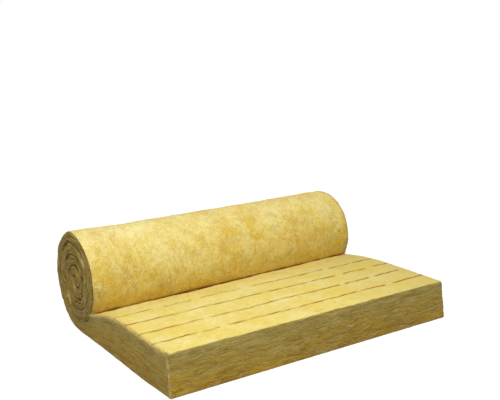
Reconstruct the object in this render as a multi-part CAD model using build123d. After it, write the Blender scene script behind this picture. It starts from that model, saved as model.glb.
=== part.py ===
"""Part-unrolled roll of glass wool insulation.

One mat of bonded glass fibre. Its free end lies flat on the floor at full thickness, and the rest
is still wound up, squeezed to about a quarter of that thickness. The mat runs under the roll, up its
back, over its top and down its front, and meets its own upper face again at the nip.

Frame: X along the roll's axis, Y along the mat with the cut end at -Y, Z up, floor at Z = 0.
"""

import os
from math import asin, cos, degrees

from build123d import *

# Driving dimensions, in millimetres
mat_width = 1200.0  # across the mat, which is the length of the roll
mat_thickness = 150.0  # where the mat lies free
flat_length = 725.0  # on the floor, from the cut end to below the roll's axis
roll_height = 381.0  # top of the roll above the floor
turn_pitch = 42.0  # one squeezed turn of the mat, measured along a radius
nip_drop = 40.0  # how far the roll presses the mat's upper face down at the nip
shoulder_run = 285.0  # length of upper face that bends down to the nip
core_radius = 18.0  # the seam between turns stops before it winds tighter than this
seam_depth = 14.0  # how deep the soft edges of two turns part at the ends of the roll
seam_width = 11.0  # how wide they part

# The winding is half circles about two centres on one vertical line, half a pitch apart: each half
# turn is half a pitch smaller than the last, so the mat's faces stay tangent all the way in.
back_radius = roll_height / 2
front_radius = back_radius - turn_pitch / 2
back_centre_z = back_radius
front_centre_z = roll_height - front_radius

# Places along Y and Z. The origin is below the middle of the part, on the floor.
overall_length = flat_length + back_radius
cut_end_y = -overall_length / 2
axis_y = cut_end_y + flat_length
nip_z = mat_thickness - nip_drop
nip_angle = asin((front_centre_z - nip_z) / front_radius)  # below level, seen from the centre
nip_y = axis_y - front_radius * cos(nip_angle)
shoulder_y = nip_y - shoulder_run


def mat_section():
    """Outline of the mat and its roll, on the plane of one end of the roll."""
    with BuildSketch(Plane.YZ.offset(-mat_width / 2)) as section:
        with BuildLine():
            Line((cut_end_y, 0), (axis_y, 0))
            ThreePointArc(
                (axis_y, 0),
                (axis_y + back_radius, back_centre_z),
                (axis_y, roll_height),
            )
            ThreePointArc(
                (axis_y, roll_height),
                (axis_y - front_radius, front_centre_z),
                (nip_y, nip_z),
            )
            TangentArc((shoulder_y, mat_thickness), (nip_y, nip_z), tangent=(1, 0))
            Line((shoulder_y, mat_thickness), (cut_end_y, mat_thickness))
            Line((cut_end_y, mat_thickness), (cut_end_y, 0))
        make_face()
    return section.sketch


def parted_seam(centre_z, start_z, sweep_angle):
    """Part of the V left open between the soft edges of two turns, at both ends of the roll at once.

    It starts above or below the axis, at start_z, and turns round the winding's centre from there.
    """
    with BuildPart() as parting:
        with BuildSketch(Plane.XZ.offset(-axis_y)):
            with Locations((-mat_width / 2, start_z), (mat_width / 2, start_z)):
                Polygon(
                    (-seam_depth, 0),
                    (0, -seam_width / 2),
                    (seam_depth, 0),
                    (0, seam_width / 2),
                )
        winding_axis = Axis((0, axis_y, centre_z), (1, 0, 0))
        revolve(axis=winding_axis, revolution_arc=sweep_angle)
    return parting.part


def seam_between_turns():
    """The whole seam, half turn by half turn, from just outside the nip in to the core."""
    under_roll_z = front_centre_z - front_radius
    run_out = seam_width / front_radius
    yield parted_seam(front_centre_z, under_roll_z, degrees(nip_angle - run_out) - 90)
    radius = front_radius - turn_pitch / 2
    behind_axis = True
    while radius > core_radius:
        if behind_axis:
            yield parted_seam(back_centre_z, back_centre_z - radius, 180)
        else:
            yield parted_seam(front_centre_z, front_centre_z + radius, 180)
        radius -= turn_pitch / 2
        behind_axis = not behind_axis


with BuildPart() as mat:
    extrude(mat_section(), amount=mat_width)
    add(list(seam_between_turns()), mode=Mode.SUBTRACT)

os.makedirs("parts", exist_ok=True)
export_step(mat.part, "parts/glass_wool_mat.step")
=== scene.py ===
from math import asin, cos, pi, radians, sin

import bmesh
import bpy
import numpy as np
from mathutils import Euler, Matrix, Vector


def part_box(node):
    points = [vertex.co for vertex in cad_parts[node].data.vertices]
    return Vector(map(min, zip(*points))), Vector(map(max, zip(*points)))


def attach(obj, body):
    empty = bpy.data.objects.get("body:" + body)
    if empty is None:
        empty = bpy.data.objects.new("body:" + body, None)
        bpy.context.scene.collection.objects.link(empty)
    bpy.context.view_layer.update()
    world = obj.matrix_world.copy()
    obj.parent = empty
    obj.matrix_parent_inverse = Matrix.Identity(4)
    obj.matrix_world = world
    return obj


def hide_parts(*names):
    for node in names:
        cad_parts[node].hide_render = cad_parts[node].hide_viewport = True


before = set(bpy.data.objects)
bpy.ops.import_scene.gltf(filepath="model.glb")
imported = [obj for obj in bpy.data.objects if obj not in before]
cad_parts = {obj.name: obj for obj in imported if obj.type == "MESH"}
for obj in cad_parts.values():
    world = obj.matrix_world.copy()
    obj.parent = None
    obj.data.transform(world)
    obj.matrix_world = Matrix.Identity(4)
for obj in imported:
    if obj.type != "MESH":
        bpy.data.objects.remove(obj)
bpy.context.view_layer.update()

# Wound mat
# The roll is one mat of bonded glass wool, cut across at both ends and slit along both sides. It is
# 150 mm thick where it lies free and squeezed to 42 mm in the roll. Its section is drawn on one end,
# wound up half turn by half turn about two centres, and drawn out to the mat's width.
low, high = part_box("glass_wool_mat")
half_width = high[0]
cut_end_y = low[1]
roll_height = high[2]
mat_thickness = 0.150
turn_pitch = 0.042
back_radius = roll_height / 2
front_radius = back_radius - turn_pitch / 2
axis_y = high[1] - back_radius
back_z = back_radius
front_z = roll_height - front_radius
flat_length = axis_y - cut_end_y

# The mesh has rows across the mat, columns along its free end, layers through it and steps round each
# half turn. Its rows and columns close up at the cut edges, which are rounded.
half_rows = 79
free_columns = 88
layers = 20
turn_steps = 88
half_turns = 8
edge_insets = np.array((0.0, 0.0012, 0.003, 0.0055, 0.009, 0.014))
weld_distance = 0.00002
tiny = 0.00001

# The nip, where the roll's front presses on the mat's upper face, and the shoulder that bends down to it
nip_drop = 0.040
shoulder_run = 0.285
step_angle = pi / turn_steps
nip_rise = asin((front_z - (mat_thickness - nip_drop)) / front_radius)
nip_steps = round((pi / 2 - nip_rise) / step_angle)
nip_angle = nip_steps * step_angle
nip_y = axis_y - front_radius * sin(nip_angle)
nip_z = front_z - front_radius * cos(nip_angle)
shoulder_y = nip_y - shoulder_run
shoulder_drop = mat_thickness - nip_z
shoulder_radius = (shoulder_run**2 + shoulder_drop**2) / (2 * shoulder_drop)

# Guide marks across the upper face, for cutting to length
first_mark = 0.099
mark_spacing = 0.101
mark_count = 4
mark_flank = 0.006
mark_breadth = 0.0062
mark_ys = [cut_end_y + first_mark + mark_spacing * number for number in range(mark_count)]


def upper_height(y):
    """Height of the mat's upper face on the flat, from the cut end to below the roll's axis."""
    past = np.clip(y - shoulder_y, 0, shoulder_run)
    free = mat_thickness - shoulder_radius + np.sqrt(shoulder_radius**2 - past**2)
    ahead = np.clip(axis_y - y, 0, front_radius)
    pressed = front_z - np.sqrt(front_radius**2 - ahead**2)
    return np.where(y <= nip_y, free, pressed)


def flat_column_ys():
    """Places of the section's columns from the cut end to below the axis, three close at each mark."""
    even_columns = np.linspace(edge_insets[-1], nip_y - cut_end_y, free_columns - len(edge_insets) + 2)
    free = cut_end_y + np.append(edge_insets, even_columns[1:])
    for mark_y in mark_ys:
        nearest = int(np.argmin(abs(free - mark_y)))
        free[nearest - 1 : nearest + 2] = mark_y + mark_flank * np.array((-1, 0, 1))
    pressed = axis_y - front_radius * np.sin(step_angle * np.arange(nip_steps - 1, -1, -1))
    return np.append(free, pressed)


def choose(piece, kind, test):
    """Selects, in edit mode, only the vertices or edges that pass the test."""
    bpy.ops.mesh.select_mode(type=kind)
    bpy.ops.mesh.select_all(action="DESELECT")
    edited = bmesh.from_edit_mesh(piece.data)
    for element in edited.verts if kind == "VERT" else edited.edges:
        if test(element):
            element.select_set(True)
    edited.select_flush_mode()
    bmesh.update_edit_mesh(piece.data)


bpy.ops.object.select_all(action="DESELECT")
column_ys = flat_column_ys()
column_tops = upper_height(column_ys)
columns = len(column_ys) - 1
bpy.ops.mesh.primitive_grid_add(
    x_subdivisions=columns, y_subdivisions=layers, size=1.0, rotation=(pi / 2, 0, pi / 2)
)
mat = bpy.context.object
mat.name = "wound_mat"
bpy.ops.object.transform_apply(location=True, rotation=True, scale=True)

# The grid is one unit each way about its middle. Its layers close up towards the skins.
for vertex in mat.data.vertices:
    column = round((vertex.co.y + 0.5) * columns)
    level = 0.5 + 0.5 * sin(pi * vertex.co.z)
    vertex.co = (-half_width, column_ys[column], level * column_tops[column])

bpy.ops.object.mode_set(mode="EDIT")
choose(mat, "VERT", lambda vertex: abs(vertex.co.y - axis_y) < tiny)
for turn in range(half_turns):
    centre = (-half_width, axis_y, front_z if turn % 2 else back_z)
    bpy.ops.mesh.spin(steps=turn_steps, angle=-pi, center=centre, axis=(1, 0, 0))
bpy.ops.mesh.select_all(action="SELECT")
bpy.ops.mesh.remove_doubles(threshold=weld_distance)

# The mat's inner end is tucked into the small hollow that the winding leaves
core_middle = Vector((-half_width, axis_y, (back_z + front_z) / 2))


def at_core(edge):
    """Whether an edge bounds the hollow, which is within a turn of the roll's middle."""
    return edge.is_boundary and all((v.co - core_middle).length < turn_pitch for v in edge.verts)


choose(mat, "EDGE", at_core)
bpy.ops.mesh.fill(use_beauty=True)

bpy.ops.mesh.select_all(action="SELECT")
bpy.ops.mesh.extrude_region_move(TRANSFORM_OT_translate={"value": (2 * half_width, 0, 0)})
for cuts in (1, half_rows - 1):
    choose(mat, "EDGE", lambda edge: abs(edge.verts[0].co.x - edge.verts[1].co.x) > half_width / 2)
    bpy.ops.mesh.subdivide(number_cuts=cuts)
bpy.ops.mesh.select_all(action="SELECT")
bpy.ops.mesh.normals_make_consistent(inside=False)
bpy.ops.object.mode_set(mode="OBJECT")


def read(elements, name, width=1, kind=float):
    """One property of all of a mesh's elements, as an array."""
    values = np.empty(len(elements) * width, dtype=kind)
    elements.foreach_get(name, values)
    return values.reshape(-1, width) if width > 1 else values


def laid_in_order(mesh):
    """The mat's mesh row by row: subdivide leaves its points in an order that varies between runs."""
    points = read(mesh.vertices, "co", 3)
    row = np.rint((points[:, 0] / half_width + 1) * half_rows)
    points[:, 0] = (row / half_rows - 1) * half_width
    order = np.lexsort((points[:, 2], points[:, 1], row))
    rank = np.argsort(order)
    faces = [rank[list(face.vertices)] for face in mesh.polygons]
    faces = sorted(np.roll(face, -face.argmin()).tolist() for face in faces)
    ordered = bpy.data.meshes.new("ordered_mat")
    ordered.from_pydata(points[order].tolist(), [], faces)
    return ordered


loose_mesh = mat.data
mat.data = laid_in_order(loose_mesh)
bpy.data.meshes.remove(loose_mesh)
mat.data.name = "wound_mat"
bpy.ops.object.shade_smooth()
shape = mat.data
place = read(shape.vertices, "co", 3)
face_middle = read(shape.polygons, "center", 3)
square_normal = read(shape.polygons, "normal", 3)
face_start = read(shape.polygons, "loop_start", kind=int)
face_corners = read(shape.polygons, "loop_total", kind=int)
corner_face = np.repeat(np.arange(len(shape.polygons)), face_corners)
corner_vertex = read(shape.loops, "vertex_index", kind=int)

inset = half_width - abs(place[:, 0])
even_rows = np.linspace(edge_insets[-1], half_width, half_rows - len(edge_insets) + 2)
row_insets = np.append(edge_insets, even_rows[1:])
inset = np.interp(inset, np.linspace(0, half_width, half_rows + 1), row_insets)
place[:, 0] = np.sign(place[:, 0]) * (half_width - inset)
corner_place = place[corner_vertex]

# Where each face lies along and through the mat, which the finishes follow: run of mat from the cut
# end, and place through its thickness on the ends or across its width on the skins.
half_turn_radii = back_radius - turn_pitch / 2 * np.arange(1, half_turns + 3)
run_before = flat_length + pi * np.append(0, np.cumsum(half_turn_radii))
facing = 0.5
skin_slack = 0.001
turn_slack = 0.01
squeeze_run = (flat_length - 0.1, flat_length + 0.3)
wound_thickness = 1.2 * turn_pitch
skin_finish = 0
face_finish = 1
cut_finish = 2


def turns_in(y, z):
    """How many turns points of the section lie in from the roll's back, and from its front."""
    behind = (back_radius - np.hypot(y - axis_y, z - back_z)) / turn_pitch
    ahead = (front_radius - np.hypot(y - axis_y, z - front_z)) / turn_pitch
    return behind, ahead


def wound_half(y, z):
    """Number of the half turn that points of the section lie in, or -1 on the flat."""
    behind, ahead = turns_in(y, z)
    front_half = np.where(ahead > -turn_slack, 1 + 2 * np.floor(np.maximum(ahead, 0)), -1)
    return np.where(y > axis_y, 2 * np.floor(np.maximum(behind, 0)), front_half).astype(int)


def place_on_mat(y, z, half_turn):
    """Run of mat up to points of the section in those half turns, and their share of its thickness."""
    front = half_turn % 2 == 1
    centre_z = np.where(front, front_z, back_z)
    reach = np.hypot(y - axis_y, z - centre_z)
    upward = np.where(front, z - centre_z, centre_z - z)
    angle = np.arctan2(abs(y - axis_y), upward)
    outer = back_radius - turn_pitch / 2 * half_turn
    wound = np.maximum(half_turn, 0)
    wound_run = run_before[wound] + angle * half_turn_radii[wound]
    flat = half_turn < 0
    run = np.where(flat, y - cut_end_y, wound_run)
    share = np.where(flat, z / upper_height(y), (outer - reach) / turn_pitch)
    return run, np.clip(share, 0, 1)


def run_map():
    """The run of mat at each corner of each face, and the place through the mat or across it."""
    run, share = place_on_mat(corner_place[:, 1], corner_place[:, 2], face_half[corner_face])
    thickness = np.interp(run, squeeze_run, (mat_thickness, wound_thickness))
    across = np.where(on_end[corner_face], share * thickness, corner_place[:, 0])
    laid = np.column_stack((run, across))
    on_cut_corner = (on_cut & ~on_end)[corner_face]
    laid[on_cut_corner] = corner_place[on_cut_corner][:, (0, 2)]
    return laid


on_end = abs(square_normal[:, 0]) > facing
on_cut = face_middle[:, 1] < cut_end_y + tiny
on_floor = face_middle[:, 2] < tiny
above_flat = abs(face_middle[:, 2] - upper_height(face_middle[:, 1])) < 2 * skin_slack
on_upper = (square_normal[:, 2] > facing) & (face_middle[:, 1] < nip_y) & above_flat
skin_half = np.where(face_middle[:, 1] > axis_y, 0, 1)
face_half = np.where(on_end, wound_half(face_middle[:, 1], face_middle[:, 2]), skin_half)
face_half[on_floor | on_upper] = -1
shape.uv_layers.new(name="mat_run").data.foreach_set("uv", run_map().ravel())
finish_of_face = np.where(on_upper, face_finish, skin_finish)
finish_of_face[on_end | on_cut] = cut_finish
shape.polygons.foreach_set("material_index", finish_of_face)


# The wool is soft. The moves below lean its nip, its left end and its cut by up to about 15 mm, round
# its cut edges, part and slip its turns, and make its skins lumpy by a few millimetres. Multiples of
# side give each end lumps of its own.
def lumps(points, size, seed):
    """Smooth heights between about -1 and 1 at an array of points, in lumps of about that size."""
    cells = 256
    gain = 1.6
    lump_dice = np.random.default_rng(seed)
    order = lump_dice.permutation(cells)
    slopes = lump_dice.normal(size=(cells, 3))
    slopes /= np.linalg.norm(slopes, axis=1, keepdims=True)
    cell_place = np.asarray(points) / size
    cell = np.floor(cell_place).astype(int)
    part = cell_place - cell
    fade = part**3 * (part * (6 * part - 15) + 10)
    height = np.zeros(len(cell))
    for cell_corner in np.ndindex(2, 2, 2):
        key = (cell + cell_corner) % cells
        pick = order[(order[(order[key[:, 0]] + key[:, 1]) % cells] + key[:, 2]) % cells]
        weight = np.where(cell_corner, fade, 1 - fade).prod(axis=1)
        height += weight * ((part - cell_corner) * slopes[pick]).sum(axis=1)
    return gain * height


def layered(points, *lump_layers):
    """Layers of lumps added up, each given as its height, size and seed."""
    return sum(height * lumps(points, size, seed) for height, size, seed in lump_layers)


def along(*parts):
    """Points for lumps, from one to three arrays or numbers."""
    parts = parts + (0.0,) * (3 - len(parts))
    return np.column_stack(np.broadcast_arrays(*parts))


def upright(y, z):
    """Vectors in the plane of the section."""
    return np.column_stack([np.broadcast_to(part, len(place)) for part in (0.0, y, z)])


def hill(distance, breadth):
    """A smooth hill, 1 high in its middle and near 0 past twice its breadth."""
    return np.exp(-((distance / breadth) ** 2))


def near(distance, reach):
    """1 at no distance, falling evenly to 0 at that reach."""
    return np.clip(1 - distance / reach, 0, 1)


def seam_gap(y, z):
    """Distance from points of the section to the seam between two turns."""
    behind, ahead = turns_in(y, z)
    first_ahead = np.where(z < nip_z + skin_slack, 0, 1)
    to_behind = abs(behind - np.maximum(1, np.round(behind)))
    to_ahead = abs(ahead - np.maximum(first_ahead, np.round(ahead)))
    return np.where(y >= axis_y, to_behind, to_ahead) * turn_pitch


x, y, z = place.T
side = np.sign(x)
half_turn = wound_half(y, z)
run, share = place_on_mat(y, z, half_turn)
on_flat = half_turn < 0
behind_axis = half_turn == 0
first_turn = half_turn == 1
end_vertex = inset < tiny
cut_vertex = y < cut_end_y + tiny
skin_vertex = np.zeros(len(place), dtype=bool)
skin_vertex[corner_vertex[~on_end[corner_face]]] = True
back_reach = np.hypot(y - axis_y, z - back_z)
front_reach = np.hypot(y - axis_y, z - front_z)
above_nip = z > nip_z + skin_slack / 2
on_back = skin_vertex & (y > axis_y - tiny) & (z > tiny)
on_front = skin_vertex & ~on_back & (front_reach < front_radius + skin_slack) & above_nip
on_top = skin_vertex & (y < nip_y + tiny) & (z > nip_z - skin_slack) & ~on_front & ~on_back
in_nip = on_top & (y > nip_y - tiny)

# The roll weighs more on the mat's left side, so that the nip lies lower there
nip_lean = 0.36
leaning_drop = nip_drop * (1 - nip_lean * x / half_width)
leaning_angle = np.arccos((front_z - mat_thickness + leaning_drop) / front_radius)
from_bottom = np.arctan2(axis_y - y, front_z - z)
pinched = np.where(
    from_bottom <= nip_angle,
    from_bottom * leaning_angle / nip_angle,
    pi - (pi - from_bottom) * (pi - leaning_angle) / (pi - nip_angle),
)
turned = from_bottom + (1 - share) * (pinched - from_bottom)
moved = place.copy()
moved[first_turn, 1] = (axis_y - front_reach * np.sin(turned))[first_turn]
moved[first_turn, 2] = (front_z - front_reach * np.cos(turned))[first_turn]
leaning_y = axis_y - front_radius * np.sin(leaning_angle)
through_shoulder = np.clip((y - shoulder_y) / shoulder_run, 0, 1)
under_angle = np.arcsin(np.clip((axis_y - y) / front_radius, 0, 1)) * leaning_angle / nip_angle
under_roll = on_flat & (y > nip_y)
shoulder = on_flat & ~under_roll & (y > shoulder_y)
shoulder_top = mat_thickness - (mat_thickness - upper_height(y)) * leaning_drop / shoulder_drop
under_top = front_z - front_radius * np.cos(under_angle)
moved[shoulder, 1] = (shoulder_y + through_shoulder * (leaning_y - shoulder_y))[shoulder]
moved[shoulder, 2] = (share * shoulder_top)[shoulder]
moved[under_roll, 1] = (axis_y - front_radius * np.sin(under_angle))[under_roll]
moved[under_roll, 2] = (share * under_top)[under_roll]

# The roll's left end leans back, and is flatter in front of its top than behind it
lean_back = 0.008
lean_reach = 0.4
lean_start_z = 0.08
lean_rise = 0.22
flattening = 0.004
crest_degrees = 14
crest_breadth = 16
flat_degrees = -24
flat_breadth = 20
near_left_end = np.where(on_flat, 0, near(x + half_width, lean_reach) ** 2)
up_the_roll = np.clip((z - lean_start_z) / lean_rise, 0, 1)
moved[:, 1] += lean_back * near_left_end * up_the_roll
past_top = np.degrees(np.arctan2(y - axis_y, z - back_z))
peak = hill(past_top - crest_degrees, crest_breadth) - hill(past_top - flat_degrees, flat_breadth)
peak *= flattening * near_left_end * (back_reach / back_radius) ** 2
moved += peak[:, None] * upright(y - axis_y, z - back_z) / back_radius

# The free end is cut a little out of square, so that its foot stands forward and to the right
foot_forward = 0.006
foot_right = 0.008
cut_reach = 0.25
pivot_share = 0.25
near_cut = np.where(on_flat, near(y - cut_end_y, cut_reach) ** 2, 0)
down_the_cut = 1 - z / mat_thickness
moved[:, 0] += near_cut * foot_right * (down_the_cut - pivot_share)
moved[:, 1] -= near_cut * foot_forward * down_the_cut

# Cut edges are rounded: softly along the top and round the roll's rims, less along the floor and along
# the cut's upper edge between its corners. The soft ones are ragged, though hardly on the right.
edge_radius = 0.011
floor_edge_radius = 0.004
corner_insets = (0.01, 0.05)
away_from_skins = 1.0
edge_tears = ((0.0016, 0.016, 50), (0.0014, 0.045, 51))
right_tears = 0.1
rounded_reach = 1.02
soft_rounding = 0.6 * edge_radius


def from_centre(centre_z, reach):
    """Vectors one long, out from one of the winding's centres to each point."""
    return upright(y - axis_y, z - centre_z) / np.maximum(reach, tiny)[:, None]


upper_part = share > 0.5
flat_depth = np.where(upper_part, upper_height(y) - z, z)
flat_depth[upper_part & (y > nip_y)] = away_from_skins
front_depth = np.where(from_bottom > nip_angle - tiny, front_radius - front_reach, away_from_skins)
skin_depth = np.full(len(place), away_from_skins)
skin_depth[on_flat] = flat_depth[on_flat]
skin_depth[behind_axis] = (back_radius - back_reach)[behind_axis]
skin_depth[first_turn] = front_depth[first_turn]
skin_outward = upright(0, np.where(upper_part, 1, -1))
skin_outward[behind_axis] = from_centre(back_z, back_reach)[behind_axis]
skin_outward[first_turn] = from_centre(front_z, front_reach)[first_turn]
front_edge_radius = np.interp(inset, corner_insets, (edge_radius, floor_edge_radius))
at_cut_end = y < cut_end_y + 2 * edge_radius
rounding = np.where(at_cut_end, front_edge_radius, edge_radius)
rounding = np.where(on_flat & ~upper_part, floor_edge_radius, rounding)
rising = np.clip(np.arctan2(y - axis_y, back_z - z) / (pi / 2), 0, 1)
behind_rounding = floor_edge_radius + (edge_radius - floor_edge_radius) * rising
rounding = np.where(behind_axis, behind_rounding, rounding)
end_outward = np.column_stack((side, 0 * side, 0 * side))
outward_ways = (end_outward, skin_outward, upright(-1, 0))
nearness = near(np.array((inset, skin_depth, y - cut_end_y)), rounding)
corner_reach = np.maximum(1, np.linalg.norm(nearness, axis=0))
corner_outward = sum(close[:, None] * way for close, way in zip(nearness, outward_ways))
moved += (rounding * (1 / corner_reach - 1))[:, None] * corner_outward
ragged = np.where(x > 0, right_tears, 1.0) * layered(place, *edge_tears)
soft_edge = (corner_reach > rounded_reach) & (rounding > soft_rounding)
moved += np.where(soft_edge, ragged, 0)[:, None] * corner_outward / corner_reach[:, None]

# The ends of the turns swell a little, slip past each other, part at the seam and split here and there.
# The seam opens less under the nip, where the roll's weight holds it shut.
seam_depth = 0.012
seam_reach = 0.006
seam_waves = ((0.006, 0.08, 9), (0.003, 0.02, 12))
usual_opening = 0.65
opening_waves = (1.3, 0.13, 1)
least_opening = 0.1
most_opening = 1.3
nip_opening = 0.5
nip_room_y = 0.03
nip_room_z = 0.01
split_count = 3
split_reach = 0.004
split_waves = (0.3, 0.12, 10)
split_patches = (1.8, 0.1, 11)
unsplit = 0.1
most_split = 0.9
pit_place = (0.201, 0.2175)
pit_size = 0.007
end_swell = 0.0014
ridge_waves = (0.0022, 1, 2)
ridge_run = 0.06
ridge_share = 0.14
slip_waves = (0.003, 0.35, 3)


def spot(spot_y, spot_z, size):
    """A round spot on the section, 1 in its middle and near 0 past three times its size."""
    return np.exp(-((y - spot_y) ** 2 + (z - spot_z) ** 2) / (2 * size**2))


wander = layered(along(run, 4 * side), *seam_waves)
openness = usual_opening + layered(along(run, side), opening_waves)
openness = np.clip(openness, least_opening, most_opening)
openness[(z < nip_z + nip_room_z) & (y < axis_y + nip_room_y)] *= nip_opening
parted = openness * np.maximum(0, 1 - abs(seam_gap(y, z) + wander) / seam_reach)
for number in range(split_count):
    split_share = (number + 1) / (split_count + 1)
    split_share = split_share + layered(along(run, 7 * side, number), split_waves)
    split = np.clip(layered(along(run, 2 * side, number), split_patches) - unsplit, 0, most_split)
    split = split * np.maximum(0, 1 - abs(share - split_share) * turn_pitch / split_reach)
    parted = np.maximum(parted, np.where(on_flat, 0, split))
parted = np.maximum(parted, np.where(side < 0, spot(*pit_place, pit_size), 0))
parted[~end_vertex] = 0
bulge = end_swell * (1 - (2 * share - 1) ** 2)
ridge = layered(along(run / ridge_run, share / ridge_share, 3 * side), ridge_waves)
slip = layered(along(run, 0, side), slip_waves)
moved[:, 0] += np.where(end_vertex, side * (bulge + ridge + slip - seam_depth * parted), 0)

# Lumpy skins and a streaky cut face. The upper face is calmer along its right edge.
skin_waves = ((0.0026, 0.16, 4), (0.0016, 0.06, 5), (0.0012, 0.022, 6))
right_calm_reach = 0.04
least_lumps = 0.1
broad_streaks = (0.0015, 0.1, 7)
fine_streaks = (0.0012, 0.035, 8)
outward = np.zeros_like(place)
outward[on_back | on_front] = skin_outward[on_back | on_front]
outward[on_top] = (0, 0, 1)
outward[cut_vertex] = (0, -1, 0)
outward[z < tiny] = 0
skin_lumps = layered(place, *skin_waves)
skin_lumps *= np.where((x > 0) & on_flat, np.clip(inset / right_calm_reach, least_lumps, 1), 1)
cut_lumps = layered(along(x, 6 * z), broad_streaks) + layered(along(x, 5 * z), fine_streaks)
height = np.where(cut_vertex, cut_lumps, skin_lumps)

# Guide marks are pressed in and a little wavy. They are whole near the left edge and broken elsewhere,
# and are pressed harder to the right, and a little harder again at the far left.
mark_dent = 0.0025
stroke_length = 0.075
stroke_share = 0.34
stroke_fade = 0.1
whole_reach = 0.13
usual_pressure = 0.78
right_pressure = 0.2
left_pressure = 0.2
left_pressed = (0.35, 0.50)
pressure_waves = (0.6, 0.05)
mark_waves = (0.0048, 0.045)
stroke_seed = 20
pressure_seed = 30
wave_seed = 40
mark_strength = np.zeros(len(place))
across_mat = along(x)
for number, mark_y in enumerate(mark_ys):
    stroke = lumps(across_mat, stroke_length, stroke_seed + number)
    stroke = np.clip((stroke + stroke_share) / stroke_fade, 0, 1)
    stroke[x < -half_width + whole_reach] = 1
    pressure = usual_pressure + right_pressure * x / half_width
    pressure += layered(across_mat, (*pressure_waves, pressure_seed + number))
    pressure += left_pressure * np.interp(-x, left_pressed, (0, 1))
    near_mark = on_top & (abs(y - mark_y) < 1.2 * mark_flank)
    mark_strength[near_mark] = (stroke * pressure)[near_mark]
    moved[near_mark, 1] += layered(across_mat, (*mark_waves, wave_seed + number))[near_mark]
    drawn = near_mark & (abs(y - mark_y) < tiny)
    height[drawn] -= mark_dent * mark_strength[drawn]
moved += outward * height[:, None]

# Along the nip the roll and the flat draw apart into a deep crease
crease_depth = 0.003
crease_reach = 0.013
least_crease = 0.3
crease_end = 0.03
crease_waves = ((0.35, 0.05, 60), (0.3, 0.02, 61))
crease = np.clip(inset / crease_end, 0, 1) * (1 + layered(across_mat, *crease_waves))
crease_way = upright(np.cos(leaning_angle), -np.sin(leaning_angle))
moved += np.where(in_nip, crease_depth * crease, 0)[:, None] * crease_way
moved[:, 2] = np.maximum(moved[:, 2], 0)
shape.vertices.foreach_set("co", moved.ravel())
shape.update()

# What the finishes read at each point: the marks' strength, painted shade in the gaps of the seam and
# nip, painted shade along the rims, white specks down the left corners, pale fringes and tufts, wound
# wool, and a place on the roll that is rubbed and also painted paler as a painted highlight
rim_shade_reach = 0.009
roll_rim_shade_reach = 0.024
fringe_reach = 0.012
left_tufts = ((0.277, 0.172, 0.010), (0.170, 0.291, 0.016), (0.345, 0.110, 0.017))
coil_run = (flat_length - 0.05, flat_length + 0.25)
# A paler place near the roll's top left: partly rubbed wool, partly a painted highlight where the light
# falls most
rubbed_and_lit_run = 1.3
rubbed_and_lit_run_breadth = 0.12
rubbed_and_lit_x = -0.4
rubbed_and_lit_x_breadth = 0.3


def keep_on_mat(name, values):
    """Keeps a value for each of the mat's points."""
    shape.attributes.new(name, "FLOAT", "POINT").data.foreach_set("value", values)


on_right = side > 0
nip_distance = np.hypot(y - nip_y, z - nip_z)
# Painted shade: the skins are darkened in colour close to the crease at the nip, where shade falls
nip_painted_shade = near(nip_distance, crease_reach * np.maximum(least_crease, crease))
# Painted shade along rims: a dark line on the roll's ends just inside the skin of its front turn, and
# darker bands along the upper face's right edge and the roll's right rim
rim_painted_shade = np.where(end_vertex & first_turn, near(skin_depth, rim_shade_reach), 0)
rim_painted_shade = np.where(on_top & on_right, near(inset, rim_shade_reach), rim_painted_shade)
rim_painted_shade = np.where((on_front | on_back) & on_right, near(inset, roll_rim_shade_reach), rim_painted_shade)
corner_line = np.where(z > tiny, 1.5 * np.minimum(nearness[0], nearness[2]) - 0.5, 0)
fringe = np.where(on_flat, near(upper_height(y) - z, fringe_reach), 0)
fringe[(y > nip_y) | cut_vertex | skin_vertex & ~end_vertex] = 0
fringe = np.maximum(fringe, corner_line)
for left_tuft in left_tufts:
    fringe = np.maximum(fringe, np.where(end_vertex & (side < 0), spot(*left_tuft), 0))
rubbed_and_lit = hill(run - rubbed_and_lit_run, rubbed_and_lit_run_breadth) * (0.5 + 0.5 * hill(x - rubbed_and_lit_x, rubbed_and_lit_x_breadth))
keep_on_mat("mark", mark_strength)
# Painted shade in the gaps: the nip's crease on the skins, and the parted seams, splits and pit on the
# ends
keep_on_mat("gap_painted_shade", np.where(skin_vertex & ~end_vertex, nip_painted_shade, parted))
keep_on_mat("rim_shade", rim_painted_shade)
keep_on_mat("corner", np.where(side < 0, corner_line, 0))
keep_on_mat("fringe", fringe)
keep_on_mat("coil", np.interp(run, coil_run, (0, 1)))
keep_on_mat("rubbed_and_lit", rubbed_and_lit)
bpy.ops.object.shade_smooth_by_angle(angle=radians(55))

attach(mat, "root")
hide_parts("glass_wool_mat")


# The finishes are made of noise along and through the mat, laid one over another
def screen(red, green, blue):
    """A colour as a screen shows it, 0 to 255, in the linear values that a shader takes."""
    shown = np.array((red, green, blue)) / 255
    linear = np.where(shown <= 0.04045, shown / 12.92, ((shown + 0.055) / 1.055) ** 2.4)
    return (*linear.tolist(), 1.0)


def add(tree, kind, inputs, **settings):
    """A new node with its settings and inputs. A socket's id_data is the tree it belongs to."""
    node = tree.nodes.new("ShaderNode" + kind)
    for name, value in settings.items():
        setattr(node, name, value)
    for name, value in inputs.items():
        if isinstance(value, bpy.types.NodeSocket):
            tree.links.new(value, node.inputs[name])
        else:
            node.inputs[name].default_value = value
    return node


def ramp(factor, *stops):
    """Colours or greys that follow a factor, given as places and colours."""
    node = add(factor.id_data, "ValToRGB", {"Fac": factor})
    band = node.color_ramp
    while len(band.elements) < len(stops):
        band.elements.new(1.0)
    for element, (position, colour) in zip(band.elements, stops):
        element.position = position
        element.color = colour if isinstance(colour, tuple) else (colour, colour, colour, 1.0)
    return node.outputs["Color"]


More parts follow.
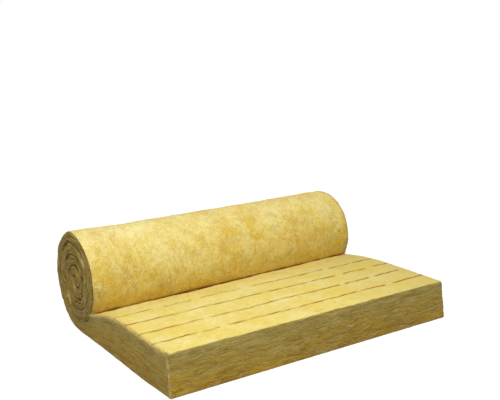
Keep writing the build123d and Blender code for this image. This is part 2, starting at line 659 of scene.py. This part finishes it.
def mixed(share, first, second, blend="MIX"):
    """Two colours mixed, or blended another way, by a share. A Mix node's colours are inputs 6 and 7."""
    inputs = {0: share, 6: first, 7: second}
    node = add(first.id_data, "Mix", inputs, data_type="RGBA", blend_type=blend, clamp_factor=True)
    return node.outputs[2]


def stained(ground, colour, pattern, *stops, within=None):
    """A ground with a colour over it, by the stops' shares along a pattern and within another, if any."""
    share = ramp(pattern, *stops)
    if within is not None:
        share = times(share, within)
    return mixed(share, ground, colour)


def shaded(ground, pattern, *stops):
    """A ground made darker or lighter, by the stops' shares along a pattern."""
    return mixed(1.0, ground, ramp(pattern, *stops), "MULTIPLY")


def maths(operation, first, second=0.0, third=0.0):
    """One sum on a socket and up to two more sockets or numbers."""
    return add(first.id_data, "Math", {0: first, 1: second, 2: third}, operation=operation).outputs[0]


def times(first, second):
    """A socket multiplied by a socket or a number."""
    return maths("MULTIPLY", first, second)


def kept(tree, name):
    """A value kept for each of a mesh's points."""
    return add(tree, "Attribute", {}, attribute_name=name).outputs["Fac"]


def shifted(vector, distance):
    """The vector moved along both ways, for another stretch of the same pattern."""
    inputs = {0: vector, 1: (distance, distance, 0)}
    return add(vector.id_data, "VectorMath", inputs, operation="ADD").outputs[0]


def cloud(vector, size, detail=3.0, roughness=0.55, distortion=0.0):
    """Soft random patches of about that size, from 0 to 1."""
    inputs = {
        "Vector": vector,
        "Scale": 1 / size,
        "Detail": detail,
        "Roughness": roughness,
        "Distortion": distortion,
    }
    return add(vector.id_data, "TexNoise", inputs).outputs["Fac"]


def stirred(vector, size, amount):
    """The vector moved about in swirls of that size, by up to about that amount."""
    tree = vector.id_data
    swirl = add(tree, "TexNoise", {"Vector": vector, "Scale": 1 / size, "Detail": 2.0})
    offset = {0: swirl.outputs["Color"], 1: (0.5, 0.5, 0.5)}
    centred = add(tree, "VectorMath", offset, operation="SUBTRACT")
    pushed = add(tree, "VectorMath", {0: centred.outputs[0], "Scale": 2 * amount}, operation="SCALE")
    return add(tree, "VectorMath", {0: vector, 1: pushed.outputs[0]}, operation="ADD").outputs[0]


def fibres(vector, length, breadth, turn, shift, detail=4.0):
    """Strands of about that length and breadth, lying at an angle to the run of the mat."""
    inputs = {
        "Vector": vector,
        "Location": (shift, -shift, shift),
        "Rotation": (0, 0, turn),
        "Scale": (length, breadth, length),
    }
    laid = add(vector.id_data, "Mapping", inputs, vector_type="TEXTURE").outputs["Vector"]
    return cloud(laid, size=1.0, detail=detail, roughness=0.62, distortion=0.4)


def matted(vector, length, breadth, shift, detail=4.0):
    """Strands that lie three ways, bend and cross, as felted wool's do."""
    stir = stirred(vector, size=2.5 * length, amount=0.6 * length)
    first = fibres(stir, length, breadth, turn=0.25, shift=shift, detail=detail)
    second = fibres(stir, length, breadth, turn=1.2, shift=shift + 3, detail=detail)
    third = fibres(stir, length, breadth, turn=2.4, shift=shift + 7, detail=detail)
    return maths("MAXIMUM", maths("MAXIMUM", first, second), third)


def new_finish(name):
    """A rough wool material and its tree."""
    finish = bpy.data.materials.new(name)
    finish.use_nodes = True
    tree = finish.node_tree
    shader = tree.nodes["Principled BSDF"]
    shader.inputs["Roughness"].default_value = 0.95
    shader.inputs["Specular IOR Level"].default_value = 0.15
    shader.inputs["Sheen Weight"].default_value = 0.05
    shader.inputs["Sheen Roughness"].default_value = 0.6
    return finish, tree


def along_the_mat(tree):
    """The run of mat, and the place through it or across it."""
    return add(tree, "UVMap", {}, uv_map="mat_run").outputs["UV"]


def dressed(finish, colour, relief=None, strength=0.0, distance=0.0):
    """The finish in its colour, with any relief that is finer than the mesh."""
    tree = finish.node_tree
    shader = tree.nodes["Principled BSDF"]
    tree.links.new(colour, shader.inputs["Base Color"])
    if relief is not None:
        bump = add(tree, "Bump", {"Height": relief, "Strength": strength, "Distance": distance})
        tree.links.new(bump.outputs["Normal"], shader.inputs["Normal"])
    return finish


def gap_shade(ground, colour):
    """A ground with painted shade over it: a deep colour in the crease at the nip and in the seam between
    two turns, where shade falls.
    """
    return stained(ground, colour, kept(ground.id_data, "gap_painted_shade"), (0.1, 0.0), (0.7, 0.9))


def guide_marks(run):
    """The broken lines across the mat's upper face."""
    breadth = mark_breadth / mark_spacing
    from_cut = add(run.id_data, "SeparateXYZ", {"Vector": run}).outputs["X"]
    spacings = maths("DIVIDE", maths("SUBTRACT", from_cut, first_mark), mark_spacing)
    off_line = maths("ABSOLUTE", maths("SUBTRACT", spacings, maths("ROUND", spacings)))
    line = ramp(off_line, (0.6 * breadth, 1.0), (breadth, 0.0))
    return times(line, ramp(kept(run.id_data, "mark"), (0.2, 0.0), (0.95, 0.9)))


def felted_skin():
    """The roll's outside: pale felted wool, mottled with gold and cream, with dull, thin spots, a paler
    place that is partly rubbed and partly a painted highlight, and painted shade at its right rim and in
    the nip.
    """
    deep_straw = screen(230, 192, 66)
    straw = screen(238, 209, 98)
    pale_straw = screen(245, 225, 134)
    rubbed_and_lit_cream = screen(250, 234, 160)
    bright_gold = screen(230, 191, 42)
    swirl_cream = screen(250, 236, 164)
    mottle_gold = screen(222, 186, 52)
    mottle_cream = screen(250, 237, 166)
    dull_wool = screen(207, 181, 96)
    curl_brown = screen(202, 164, 64)
    curl_cream = screen(251, 238, 170)
    strand_cream = screen(252, 241, 182)
    strand_gold = screen(208, 168, 50)
    fleck_brown = screen(154, 116, 44)
    # Painted shade colour along the roll's right rim
    rim_shade_ochre = screen(204, 152, 46)
    # Painted shade colour for the crease at the nip
    crease_shade_amber = screen(180, 98, 24)

    finish, tree = new_finish("felted_skin")
    run = along_the_mat(tree)
    patches = cloud(shifted(run, 2.3), size=0.16, detail=5.0, roughness=0.6, distortion=0.3)
    ground = ramp(patches, (0.36, deep_straw), (0.5, straw), (0.64, pale_straw))
    # Paler cream near the roll's top left, partly wear and partly painted highlight
    rubbed_and_lit_share = times(kept(tree, "rubbed_and_lit"), ramp(patches, (0.3, 0.4), (0.6, 0.9)))
    ground = mixed(rubbed_and_lit_share, ground, rubbed_and_lit_cream)
    felted = maths("MULTIPLY_ADD", rubbed_and_lit_share, -0.9, 1.0)
    swirled = stirred(shifted(run, 4.7), size=0.12, amount=0.05)
    swirls = cloud(swirled, size=0.055, detail=5.0, roughness=0.64, distortion=0.8)
    ground = stained(ground, bright_gold, swirls, (0.38, 0.72), (0.47, 0.0), within=felted)
    ground = stained(ground, swirl_cream, swirls, (0.54, 0.0), (0.64, 0.4))
    mottled = stirred(run, size=0.06, amount=0.02)
    mottles = cloud(mottled, size=0.03, detail=7.0, roughness=0.74, distortion=0.5)
    ground = stained(ground, mottle_gold, mottles, (0.36, 0.45), (0.48, 0.0))
    ground = stained(ground, mottle_cream, mottles, (0.53, 0.0), (0.66, 0.4))
    dull = cloud(run, size=0.06, detail=7.0, roughness=0.7, distortion=0.7)
    ground = stained(ground, dull_wool, dull, (0.51, 0.0), (0.62, 0.66), within=felted)
    curling = stirred(run, size=0.11, amount=0.1)
    curls = fibres(curling, length=0.06, breadth=0.007, turn=0.5, shift=60.0)
    curled = ramp(cloud(shifted(run, 7.7), size=0.13), (0.42, 0.1), (0.6, 1.0))
    ground = stained(ground, curl_brown, curls, (0.38, 0.32), (0.5, 0.0), within=curled)
    ground = stained(ground, curl_cream, curls, (0.52, 0.0), (0.64, 0.4), within=curled)
    strands = matted(run, length=0.04, breadth=0.006, shift=1.0)
    ground = stained(ground, strand_cream, strands, (0.57, 0.0), (0.71, 0.6))
    gold_strands = matted(run, length=0.026, breadth=0.006, shift=50.0, detail=2.5)
    ground = stained(ground, strand_gold, gold_strands, (0.6, 0.0), (0.7, 0.4))
    thin_places = ramp(cloud(run, size=0.09), (0.48, 0.2), (0.62, 1.0))
    flecks = matted(run, length=0.02, breadth=0.005, shift=33.0, detail=2.5)
    flecked = times(ramp(flecks, (0.61, 0.0), (0.72, 0.65)), thin_places)
    ground = mixed(times(flecked, felted), ground, fleck_brown)
    ground = stained(ground, rim_shade_ochre, kept(tree, "rim_shade"), (0.0, 0.0), (0.8, 0.6))
    grain = cloud(run, size=0.005, roughness=0.75)
    ground = shaded(ground, grain, (0.32, 0.84), (0.66, 1.08))
    ground = gap_shade(ground, crease_shade_amber)
    relief = maths("MULTIPLY_ADD", curls, 0.6, mottles)
    relief = maths("MULTIPLY_ADD", grain, 0.5, relief)
    return dressed(finish, ground, relief, strength=0.65, distance=0.006)


def marked_face():
    """The mat's upper face: smoother and paler, with brown broken guide marks pressed into it, painted
    shade towards its right side and along its right edge, and painted shade in the nip.
    """
    deep_straw = screen(232, 202, 88)
    straw = screen(232, 210, 110)
    pale_straw = screen(236, 220, 139)
    strand_cream = screen(247, 236, 174)
    strand_gold = screen(220, 182, 62)
    curd_gold = screen(224, 188, 66)
    curd_cream = screen(246, 234, 168)
    # Painted shade colour for the upper face's right side
    right_shade_wool = screen(196, 174, 98)
    mark_brown = screen(150, 107, 18)
    # Painted shade colour along the upper face's right edge
    rim_shade_olive = screen(158, 136, 58)
    # Painted shade colour for the crease at the nip
    crease_shade_amber = screen(180, 98, 24)

    finish, tree = new_finish("marked_face")
    run = along_the_mat(tree)
    patches = cloud(run, size=0.13, detail=6.0, roughness=0.6, distortion=0.2)
    ground = ramp(patches, (0.32, deep_straw), (0.47, straw), (0.64, pale_straw))
    strands = matted(run, length=0.04, breadth=0.006, shift=11.0)
    ground = stained(ground, strand_cream, strands, (0.57, 0.0), (0.73, 0.4))
    gold_strands = matted(run, length=0.03, breadth=0.006, shift=27.0)
    ground = stained(ground, strand_gold, gold_strands, (0.59, 0.0), (0.73, 0.5))
    curds = cloud(shifted(run, 5.1), size=0.018, detail=6.0, roughness=0.75, distortion=0.4)
    ground = stained(ground, curd_gold, curds, (0.36, 0.24), (0.48, 0.0))
    ground = stained(ground, curd_cream, curds, (0.53, 0.0), (0.66, 0.24))
    # Painted shade: the upper face is darkened towards its right side, where the light falls off
    to_right = add(tree, "SeparateXYZ", {"Vector": run}).outputs["Y"]
    right_painted_shade = times(ramp(to_right, (0.1, 0.0), (0.6, 0.7)), patches)
    ground = mixed(right_painted_shade, ground, right_shade_wool)
    grain = cloud(run, size=0.005, roughness=0.75)
    ground = shaded(ground, grain, (0.32, 0.92), (0.66, 1.03))
    ground = mixed(guide_marks(run), ground, mark_brown)
    ground = stained(ground, rim_shade_olive, kept(tree, "rim_shade"), (0.2, 0.0), (0.9, 0.7))
    ground = gap_shade(ground, crease_shade_amber)
    relief = maths("ADD", strands, times(grain, 0.6))
    return dressed(finish, ground, relief, strength=0.35, distance=0.003)


def cut_edge():
    """Cut wool: fibre layers seen end on, duller than the skins, in wavy streaks along the mat, with
    painted shade round the roll's rims and in the seams between turns.
    """
    lower_ochre = screen(198, 158, 46)
    middle_ochre = screen(194, 162, 62)
    upper_olive = screen(192, 170, 88)
    wound_ochre = screen(188, 158, 62)
    broad_brown = screen(156, 118, 38)
    clot_brown = screen(124, 94, 34)
    grey_wool = screen(190, 174, 104)
    streak_brown = screen(104, 76, 22)
    streak_cream = screen(232, 212, 144)
    teased_straw = screen(218, 196, 118)
    fringe_cream = screen(230, 208, 128)
    speck_white = screen(246, 238, 200)
    # Painted shade colour on the roll's ends just inside the skin
    rim_shade_brown = screen(112, 84, 24)
    # Painted shade colour for the seams between turns on the ends
    seam_shade_brown = screen(74, 52, 16)

    finish, tree = new_finish("cut_edge")
    run = along_the_mat(tree)
    wavy = stirred(run, size=0.07, amount=0.009)
    through = add(tree, "SeparateXYZ", {"Vector": stirred(run, size=0.06, amount=0.03)}).outputs["Y"]
    level = maths("DIVIDE", through, mat_thickness)
    ground = ramp(level, (0.15, lower_ochre), (0.5, middle_ochre), (0.85, upper_olive))
    coil = kept(tree, "coil")
    ground = mixed(times(coil, 0.7), ground, wound_ochre)
    contrast = maths("MULTIPLY_ADD", coil, 1.2, 0.85)
    broad = fibres(wavy, length=0.11, breadth=0.016, turn=0.04, shift=2.0)
    ground = stained(ground, broad_brown, broad, (0.36, 0.6), (0.54, 0.0))
    drift = cloud(shifted(run, 8.9), size=0.17, roughness=0.5)
    ground = shaded(ground, drift, (0.35, 0.88), (0.65, 1.1))
    clots = cloud(shifted(run, 6.3), size=0.011, detail=4.0, roughness=0.65, distortion=0.6)
    clotting = maths("MULTIPLY_ADD", coil, 0.7, 0.3)
    ground = stained(ground, clot_brown, clots, (0.38, 0.6), (0.48, 0.0), within=clotting)
    grey = fibres(wavy, length=0.14, breadth=0.022, turn=-0.05, shift=21.0)
    ground = stained(ground, grey_wool, grey, (0.48, 0.0), (0.62, 0.5))
    dark = fibres(wavy, length=0.06, breadth=0.0048, turn=0.02, shift=15.0)
    darkened = times(ramp(dark, (0.54, 0.0), (0.68, 0.7)), contrast)
    ground = mixed(maths("MULTIPLY_ADD", coil, 0.25, darkened), ground, streak_brown)
    pale = fibres(wavy, length=0.06, breadth=0.0044, turn=0.06, shift=9.0)
    ground = stained(ground, streak_cream, pale, (0.55, 0.0), (0.69, 0.7), within=contrast)
    ground = stained(ground, teased_straw, clots, (0.55, 0.0), (0.66, 0.6), within=clotting)
    grain = cloud(shifted(run, 3.3), size=0.005, roughness=0.75)
    ground = shaded(ground, grain, (0.32, 0.86), (0.66, 1.14))
    tufting = ramp(cloud(run, size=0.012, detail=4.0, roughness=0.7), (0.3, 0.1), (0.65, 1.6))
    tufted = times(kept(tree, "fringe"), tufting)
    ground = stained(ground, fringe_cream, tufted, (0.15, 0.0), (0.9, 0.9))
    specks = cloud(shifted(run, 1.9), size=0.008, detail=1.0, roughness=0.5)
    at_corner = ramp(kept(tree, "corner"), (0.1, 0.0), (0.6, 0.8))
    ground = stained(ground, speck_white, specks, (0.54, 0.0), (0.62, 1.0), within=at_corner)
    ground = stained(ground, rim_shade_brown, kept(tree, "rim_shade"), (0.1, 0.0), (0.8, 0.75))
    ground = gap_shade(ground, seam_shade_brown)
    relief = maths("ADD", pale, maths("SUBTRACT", broad, dark))
    return dressed(finish, ground, relief, strength=0.7, distance=0.006)


for mat_finish in (felted_skin(), marked_face(), cut_edge()):
    shape.materials.append(mat_finish)

# Loose fibres
# Fine strands of glass stand off the skins, lie along the layers of the cut faces and fringe the cut
# edges and the nip. Each is a thin three-sided spike, and all those of one kind are one joined mesh.
farthest_out = 0.008
strand_bend = 0.38
strand_points = 10
dice = np.random.default_rng(70)

# Rings of a strand: how far along it each lies, and how thick it is there
strand_rings = ((0.0, 1.0), (0.4, 0.8), (0.75, 0.5))
face_area = read(shape.polygons, "area")
face_normal = read(shape.polygons, "normal", 3)


def scattered(chosen, count):
    """Random faces of those chosen, evenly by area, and a random place on each."""
    weight = np.where(chosen, face_area, 0)
    face = dice.choice(len(weight), count, p=weight / weight.sum())
    last = face_corners[face] - 1
    corners = [moved[corner_vertex[face_start[face] + np.minimum(k, last)]] for k in range(4)]
    u, v = dice.random((2, count, 1))
    lower = corners[0] * (1 - u) + corners[1] * u
    upper = corners[3] * (1 - u) + corners[2] * u
    return face, lower * (1 - v) + upper * v


def unit(vectors):
    """The same directions, one long."""
    return vectors / np.maximum(np.linalg.norm(vectors, axis=1, keepdims=True), tiny)


def any_way(count):
    """Random vectors, as often one way as another."""
    return dice.normal(size=(count, 3))


def strand_faces(count):
    """Faces of so many strands: three sides from each ring to the next, a foot and a three-sided tip."""
    faces = []
    for ring in (0, 3):
        for start, end in ((0, 1), (1, 2), (2, 0)):
            faces.append((ring + start, ring + end, ring + 3 + end, ring + 3 + start))
    faces += [(2, 1, 0), (6, 7, 9), (7, 8, 9), (8, 6, 9)]
    first = strand_points * np.arange(count)[:, None]
    return [row for face in faces for row in (first + np.array(face)).tolist()]


def strand_mesh(name, root, way, outward, length, thickness, tone):
    """One mesh of tapered strands that leave their roots one way, bend, and stand out only so far."""
    count = len(root)
    bend = strand_bend * unit(any_way(count))
    standing = ((way + bend) * outward).sum(axis=1)
    bend -= np.maximum(standing - farthest_out / length, 0)[:, None] * outward
    across = unit(np.cross(way, any_way(count)))
    upward = np.cross(way, across)
    points = []
    for part, taper in strand_rings:
        spine = root + length[:, None] * (part * way + part**2 * bend)
        for angle in (0, 2 * pi / 3, 4 * pi / 3):
            points.append(spine + thickness * taper * (cos(angle) * across + sin(angle) * upward))
    points.append(root + length[:, None] * (way + bend))
    points = np.stack(points, axis=1)
    points[:, :, 2] = np.maximum(points[:, :, 2], 0)
    mesh = bpy.data.meshes.new(name)
    mesh.from_pydata(points.reshape(-1, 3).tolist(), [], strand_faces(count))
    tones = np.repeat(tone, strand_points)
    mesh.attributes.new("tone", "FLOAT", "POINT").data.foreach_set("value", tones)
    mesh.shade_smooth()
    piece = bpy.data.objects.new(name, mesh)
    bpy.context.collection.objects.link(piece)
    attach(piece, "root")
    return piece


def skin_fibres(count):
    """Pale strands felted onto the skins."""
    standing = 0.25
    face, root = scattered((finish_of_face != cut_finish) & ~on_floor, count)
    outward = face_normal[face]
    flat_way = unit(np.cross(outward, any_way(count)))
    way = unit(flat_way + standing * dice.random((count, 1)) * outward)
    length = dice.uniform(0.01, 0.026, count)
    tone = dice.uniform(0.45, 1.0, count)
    return strand_mesh("skin_fibres", root, way, outward, length, thickness=0.0003, tone=tone)


def cut_fibres(count):
    """Strands that lie along the layers of the cut faces."""
    standing = 0.3
    straying = 0.15
    face, root = scattered(finish_of_face == cut_finish, count)
    outward = face_normal[face]
    _, face_y, face_z = face_middle[face].T
    centre_z = np.where(face_y > axis_y, back_z, front_z)
    along_layers = np.column_stack((np.zeros(count), centre_z - face_z, face_y - axis_y))
    along_layers[face_half[face] < 0] = (0, 1, 0)
    along_layers[(on_cut & ~on_end)[face]] = (1, 0, 0)
    along_layers = unit(along_layers) * dice.choice((-1, 1), (count, 1))
    way = along_layers + standing * dice.random((count, 1)) * outward + straying * any_way(count)
    length = dice.uniform(0.008, 0.026, count)
    tone = dice.uniform(0.0, 0.75, count)
    return strand_mesh("cut_fibres", root, unit(way), outward, length, thickness=0.00035, tone=tone)


def edge_fibres(count):
    """Short tufts along the cut edges of the upper face and down the front corners, few on the right."""
    right_count = 0.02
    right_length = 0.5
    spreading = 0.004
    sunk = 0.002
    straying = 0.55
    on_edge = np.flatnonzero(on_flat & (fringe > 0.75) & (corner_reach > 1.05))
    weight = np.where(x[on_edge] > 0, right_count, 1.0)
    root_vertex = dice.choice(on_edge, count, p=weight / weight.sum())
    spread = spreading * any_way(count)
    outward = unit(corner_outward[root_vertex])
    way = unit(outward + straying * any_way(count))
    length = dice.uniform(0.003, 0.009, count) * np.where(x[root_vertex] > 0, right_length, 1.0)
    root = moved[root_vertex] + spread - sunk * outward
    tone = dice.uniform(0.3, 1.0, count)
    return strand_mesh("edge_fibres", root, way, outward, length, thickness=0.0004, tone=tone)


def nip_fibres(count):
    """Tufts of the roll's skin that hang over the crease at the nip."""
    root_rise = 0.014
    spreading = (0.004, 0.0, 0.0)
    tucked = 0.25
    straying = 0.5
    over_nip = np.flatnonzero(on_front & (z < nip_z + root_rise) & ~end_vertex)
    root_vertex = dice.choice(over_nip, count)
    root = moved[root_vertex] + dice.uniform(-1, 1, (count, 3)) * spreading
    outward = skin_outward[root_vertex]
    way = unit(crease_way[root_vertex] - tucked * outward + straying * any_way(count))
    length = dice.uniform(0.004, 0.011, count)
    tone = dice.uniform(0.0, 0.5, count)
    return strand_mesh("nip_fibres", root, way, outward, length, thickness=0.0004, tone=tone)


def loose_strands():
    """Glass strands, from dull olive through straw to cream."""
    olive = screen(140, 108, 44)
    straw = screen(222, 192, 104)
    cream = screen(252, 240, 184)
    finish, tree = new_finish("loose_strands")
    colour = ramp(kept(tree, "tone"), (0.0, olive), (0.5, straw), (1.0, cream))
    return dressed(finish, colour)


strand_finish = loose_strands()
for fibre_piece in (skin_fibres(6000), cut_fibres(5000), edge_fibres(3000), nip_fibres(1200)):
    fibre_piece.data.materials.append(strand_finish)

# Floor and background
# The floor is pale. It looks white to the camera and keeps a soft shadow, and throws back less light
# than it shows, so that the cut faces stay as deep as wool's do. The world round it looks white too.
floor_reach = 60.0
floor_albedo = 0.5
seen_glow = 1.9
glow_share = 0.5
sky_light = 0.22
white = (1, 1, 1, 1)


def seen_plainly(tree):
    """1 for what the camera sees, straight, mirrored or through glass, and 0 for light on the object."""
    path = add(tree, "LightPath", {}).outputs
    seen = maths("MAXIMUM", path["Is Camera Ray"], path["Is Glossy Ray"])
    return maths("MAXIMUM", seen, path["Is Transmission Ray"])


def shown(tree, share, lit, seen, output):
    """Two shaders mixed by a share, as the tree's output."""
    both = add(tree, "MixShader", {0: share, 1: lit.outputs[0], 2: seen.outputs[0]})
    add(tree, output, {"Surface": both.outputs[0]})


bpy.ops.mesh.primitive_plane_add(size=2 * floor_reach, location=(0, 0, 0))
floor = bpy.context.object
floor.name = "floor"
paper = bpy.data.materials.new("pale_floor")
paper.use_nodes = True
paper_tree = paper.node_tree
paper_tree.nodes.clear()
matt = add(paper_tree, "BsdfDiffuse", {"Color": (floor_albedo, floor_albedo, floor_albedo, 1)})
glow = add(paper_tree, "Emission", {"Strength": seen_glow})
glow_seen = times(seen_plainly(paper_tree), glow_share)
shown(paper_tree, glow_seen, matt, glow, "OutputMaterial")
floor.data.materials.append(paper)

world = bpy.data.worlds.new("white_studio")
bpy.context.scene.world = world
world.use_nodes = True
world_tree = world.node_tree
world_tree.nodes.clear()
around = add(world_tree, "Background", {"Color": white, "Strength": sky_light})
behind = add(world_tree, "Background", {"Color": white, "Strength": 1.0})
shown(world_tree, seen_plainly(world_tree), around, behind, "OutputWorld")

# Lamps
# Three soft square lamps: one overhead, a little to the front, one to the left and a weak one behind.
# Each has its place, its power in watts and its breadth.
lamps = {
    "overhead": ((-0.25, -1.15, 2.5), 34.0, 2.4),
    "near_left": ((-1.5, -1.3, 3.2), 62.0, 1.6),
    "rear_fill": ((1.1, 3.0, 2.6), 21.0, 2.0),
}
lamp_aim = Vector((-0.1, 0.0, 0.1))
for lamp_name, (lamp_place, watts, breadth) in lamps.items():
    lamp = bpy.data.lights.new(lamp_name, "AREA")
    lamp.energy = watts
    lamp.size = breadth
    holder = bpy.data.objects.new(lamp_name, lamp)
    bpy.context.collection.objects.link(holder)
    holder.location = lamp_place
    holder.rotation_euler = (lamp_aim - holder.location).to_track_quat("-Z", "Y").to_euler()

# Camera
# It stands where the photograph was taken from, in front of the mat's cut end and to its left.
camera_place = (-1.683, -2.584, 1.159)
camera_yaw = 0.5826
camera_pitch = 0.2193
camera_roll = -0.0204
camera_data = bpy.data.cameras.new("photo_view")
camera_data.sensor_width = 36.0
camera_data.lens = 59.44
camera = bpy.data.objects.new("photo_view", camera_data)
bpy.context.collection.objects.link(camera)
aim = Euler((pi / 2 - camera_pitch, 0, -camera_yaw)).to_matrix() @ Matrix.Rotation(camera_roll, 3, "Z")
camera.location = camera_place
camera.rotation_euler = aim.to_euler()
bpy.context.scene.camera = camera
bpy.context.scene.view_settings.view_transform = "Standard"
